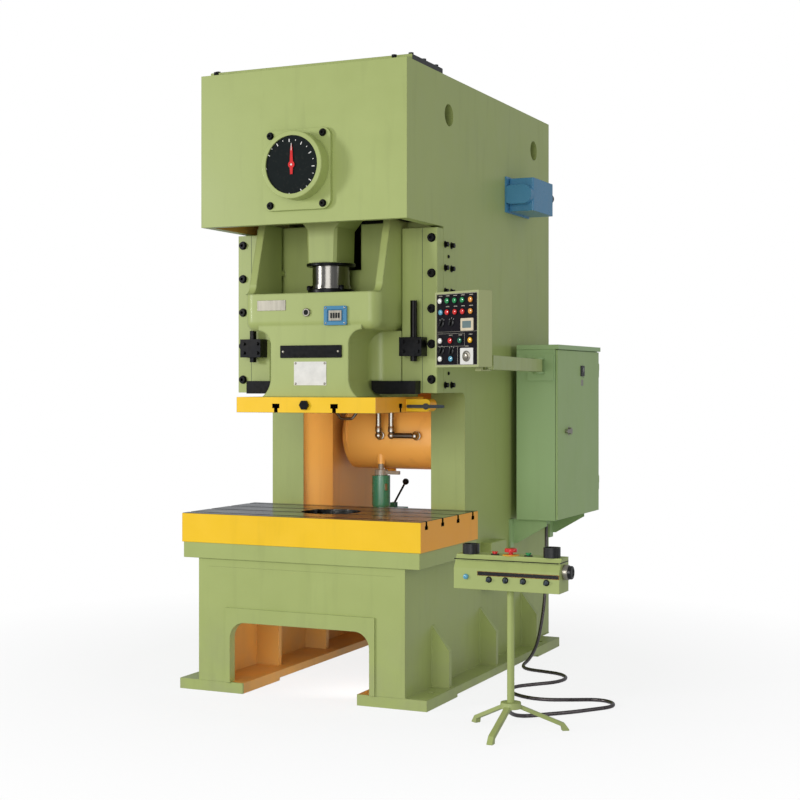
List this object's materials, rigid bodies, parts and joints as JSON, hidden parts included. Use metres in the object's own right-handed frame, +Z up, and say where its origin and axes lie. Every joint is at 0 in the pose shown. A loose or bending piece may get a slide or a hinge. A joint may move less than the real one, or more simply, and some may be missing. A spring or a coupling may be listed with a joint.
{
  "type": "c-frame punch press",
  "caption": "Open-back C-frame mechanical punch press with bolster, slide, dial, control cabinet, pendant arm and two-hand pedestal.",
  "frame": {"origin": "centre of the four foundation bolts, on the floor", "axes": "+X to the right as the operator sees it, +Y from the front to the back, +Z up"},
  "size_m": [2.126, 2.6595, 3.097],
  "materials": {
    "green_paint": "semi gloss machine enamel",
    "inner_paint": "satin enamel",
    "yellow_paint": "semi gloss machine enamel",
    "cabinet_paint": "fine textured enamel",
    "machined_steel": "ground",
    "black_oxide": "blackened",
    "cast_iron": "as cast",
    "bronze": "machined",
    "black_plastic": "fine grain",
    "belt_rubber": "matt",
    "blue_paint": "gloss enamel",
    "green_plastic": "moulded",
    "red_plastic": "moulded",
    "dial_black": "satin",
    "conduit_metal": "spiral wound"
  },
  "bodies": {
    "frame": {"side_plate_left": "green_paint", "side_plate_right": "green_paint", "base_front_plate": "green_paint", "cross_plates": "green_paint", "deck_plates": "green_paint", "foot_rails": "green_paint", "foot_gussets": "green_paint", "bed_plate": "green_paint", "bolster": "yellow_paint", "throat_columns": "green_paint", "guide_blocks": "green_paint", "gib_plates": "green_paint", "frame_screws": "black_oxide", "head_front_plate": "green_paint", "rear_cover": "green_paint", "bearing_plates": "inner_paint", "bronze_bearings": "bronze", "dial_housing": "green_paint", "dial_face": "dial_black", "top_cover": "green_paint", "stop_brackets": "black_oxide", "air_tank": "inner_paint", "tank_pipes": "inner_paint", "filter_bowl": "green_plastic", "lube_pump": "green_plastic", "drive_motor": "green_paint", "drive_belts": "belt_rubber", "valve_box": "blue_paint", "cabinet_shell": "cabinet_paint", "cabinet_brackets": "green_paint", "junction_box": "green_paint", "pedestal_stand": "green_paint", "pedestal_box": "green_paint", "pedestal_fittings": "black_plastic", "conduit": "conduit_metal"},
    "rod": {"connecting_rod": "green_paint"},
    "ram": {"ram": "green_paint", "slide_plate": "yellow_paint", "ram_fittings": "black_oxide", "die_height_counter": "blue_paint"},
    "screw": {"adjusting_screw": "machined_steel"},
    "crank": {"crankshaft": "machined_steel", "drive_gear": "cast_iron", "dial_pointer": "red_plastic"},
    "pinion": {"pinion_shaft": "machined_steel"},
    "flywheel": {"flywheel": "cast_iron"},
    "motor_rotor": {"motor_pulley": "cast_iron"},
    "clamp_lever": {"clamp_lever": "machined_steel"},
    "pump_lever": {"pump_lever": "black_oxide"},
    "valve_knob": {"valve_knob": "black_plastic"},
    "door": {"cabinet_door": "cabinet_paint"},
    "handle": {"door_handle": "black_plastic"},
    "arm": {"swing_arm": "green_paint"},
    "pendant": {"pendant_box": "green_paint", "pendant_controls": "black_plastic"},
    "palm_left": {"palm_button_left": "black_plastic"},
    "palm_right": {"palm_button_right": "black_plastic"},
    "start": {"start_button": "green_plastic"},
    "stop": {"stop_button": "red_plastic"},
    "emergency": {"emergency_stop": "red_plastic"}
  },
  "joints": [
    {"name": "ram_stroke", "type": "slide", "parent": "frame", "child": "rod", "axis": [0, 0, 1], "range_m": [-0.16, 0]},
    {"name": "die_height_adjust", "type": "slide", "parent": "rod", "child": "ram", "axis": [0, 0, 1], "range_m": [-0.1, 0]},
    {"name": "screw_turn", "type": "hinge", "parent": "ram", "child": "screw", "pos_m": [0, -0.623, 2.014], "axis": [0, 0, 1], "range_deg": [-4500, 0]},
    {"name": "crank_turn", "type": "hinge", "parent": "frame", "child": "crank", "pos_m": [0, -0.623, 2.57], "axis": [0, 1, 0], "range_deg": [0, 180]},
    {"name": "pinion_turn", "type": "hinge", "parent": "frame", "child": "pinion", "pos_m": [0, 0.3, 2.08], "axis": [0, 1, 0], "range_deg": [-922.5, 0]},
    {"name": "flywheel_spin", "type": "hinge", "parent": "frame", "child": "flywheel", "pos_m": [0, 0.83, 2.08], "axis": [0, 1, 0], "continuous": true},
    {"name": "motor_spin", "type": "hinge", "parent": "frame", "child": "motor_rotor", "pos_m": [-0.3, 0.83, 2.78], "axis": [0, 1, 0], "continuous": true},
    {"name": "clamp_lever_turn", "type": "hinge", "parent": "ram", "child": "clamp_lever", "pos_m": [0.495, -0.567, 1.411], "axis": [0, 1, 0], "range_deg": [-25, 25]},
    {"name": "pump_lever_swing", "type": "hinge", "parent": "frame", "child": "pump_lever", "pos_m": [-0.3, 0.777, 0.803], "axis": [0, 1, 0], "range_deg": [-60, 20]},
    {"name": "valve_knob_turn", "type": "hinge", "parent": "frame", "child": "valve_knob", "pos_m": [0.68, 0.752, 2.57], "axis": [0, 1, 0], "range_deg": [0, 90]},
    {"name": "door_swing", "type": "hinge", "parent": "frame", "child": "door", "pos_m": [0.83, 1.218, 1.243], "axis": [0, 0, 1], "range_deg": [0, 110]},
    {"name": "door_handle_turn", "type": "hinge", "parent": "door", "child": "handle", "pos_m": [0.84, 0.646, 1.26], "axis": [1, 0, 0], "range_deg": [0, 90]},
    {"name": "arm_swing", "type": "hinge", "parent": "frame", "child": "arm", "pos_m": [0.741, 0.39, 1.621], "axis": [0, 0, 1], "range_deg": [-4, 75]},
    {"name": "pendant_swivel", "type": "hinge", "parent": "arm", "child": "pendant", "pos_m": [0.9334, -0.86736, 1.621], "axis": [0, 0, 1], "range_deg": [-55, 120]},
    {"name": "palm_button_left_press", "type": "slide", "parent": "frame", "child": "palm_left", "axis": [0, 0, 1], "range_m": [-0.006, 0], "stiffness_N_per_m": 1500, "springref_m": 0.004},
    {"name": "palm_button_right_press", "type": "slide", "parent": "frame", "child": "palm_right", "axis": [0, 0, 1], "range_m": [-0.006, 0], "stiffness_N_per_m": 1500, "springref_m": 0.004},
    {"name": "start_press", "type": "slide", "parent": "frame", "child": "start", "axis": [0, 0, 1], "range_m": [-0.004, 0], "stiffness_N_per_m": 1500, "springref_m": 0.004},
    {"name": "stop_press", "type": "slide", "parent": "frame", "child": "stop", "axis": [0, 0, 1], "range_m": [-0.004, 0], "stiffness_N_per_m": 1500, "springref_m": 0.004},
    {"name": "emergency_stop_press", "type": "slide", "parent": "frame", "child": "emergency", "axis": [0, 0, 1], "range_m": [-0.006, 0], "stiffness_N_per_m": 1500, "springref_m": 0.004}
  ],
  "couplings": [
    {"joint": "crank_turn", "follows": "ram_stroke", "rad_per_m": -19.635},
    {"joint": "pinion_turn", "follows": "ram_stroke", "rad_per_m": 100.63},
    {"joint": "screw_turn", "follows": "die_height_adjust", "rad_per_m": 785.4},
    {"joint": "motor_spin", "follows": "flywheel_spin", "ratio": 4.0566}
  ]
}
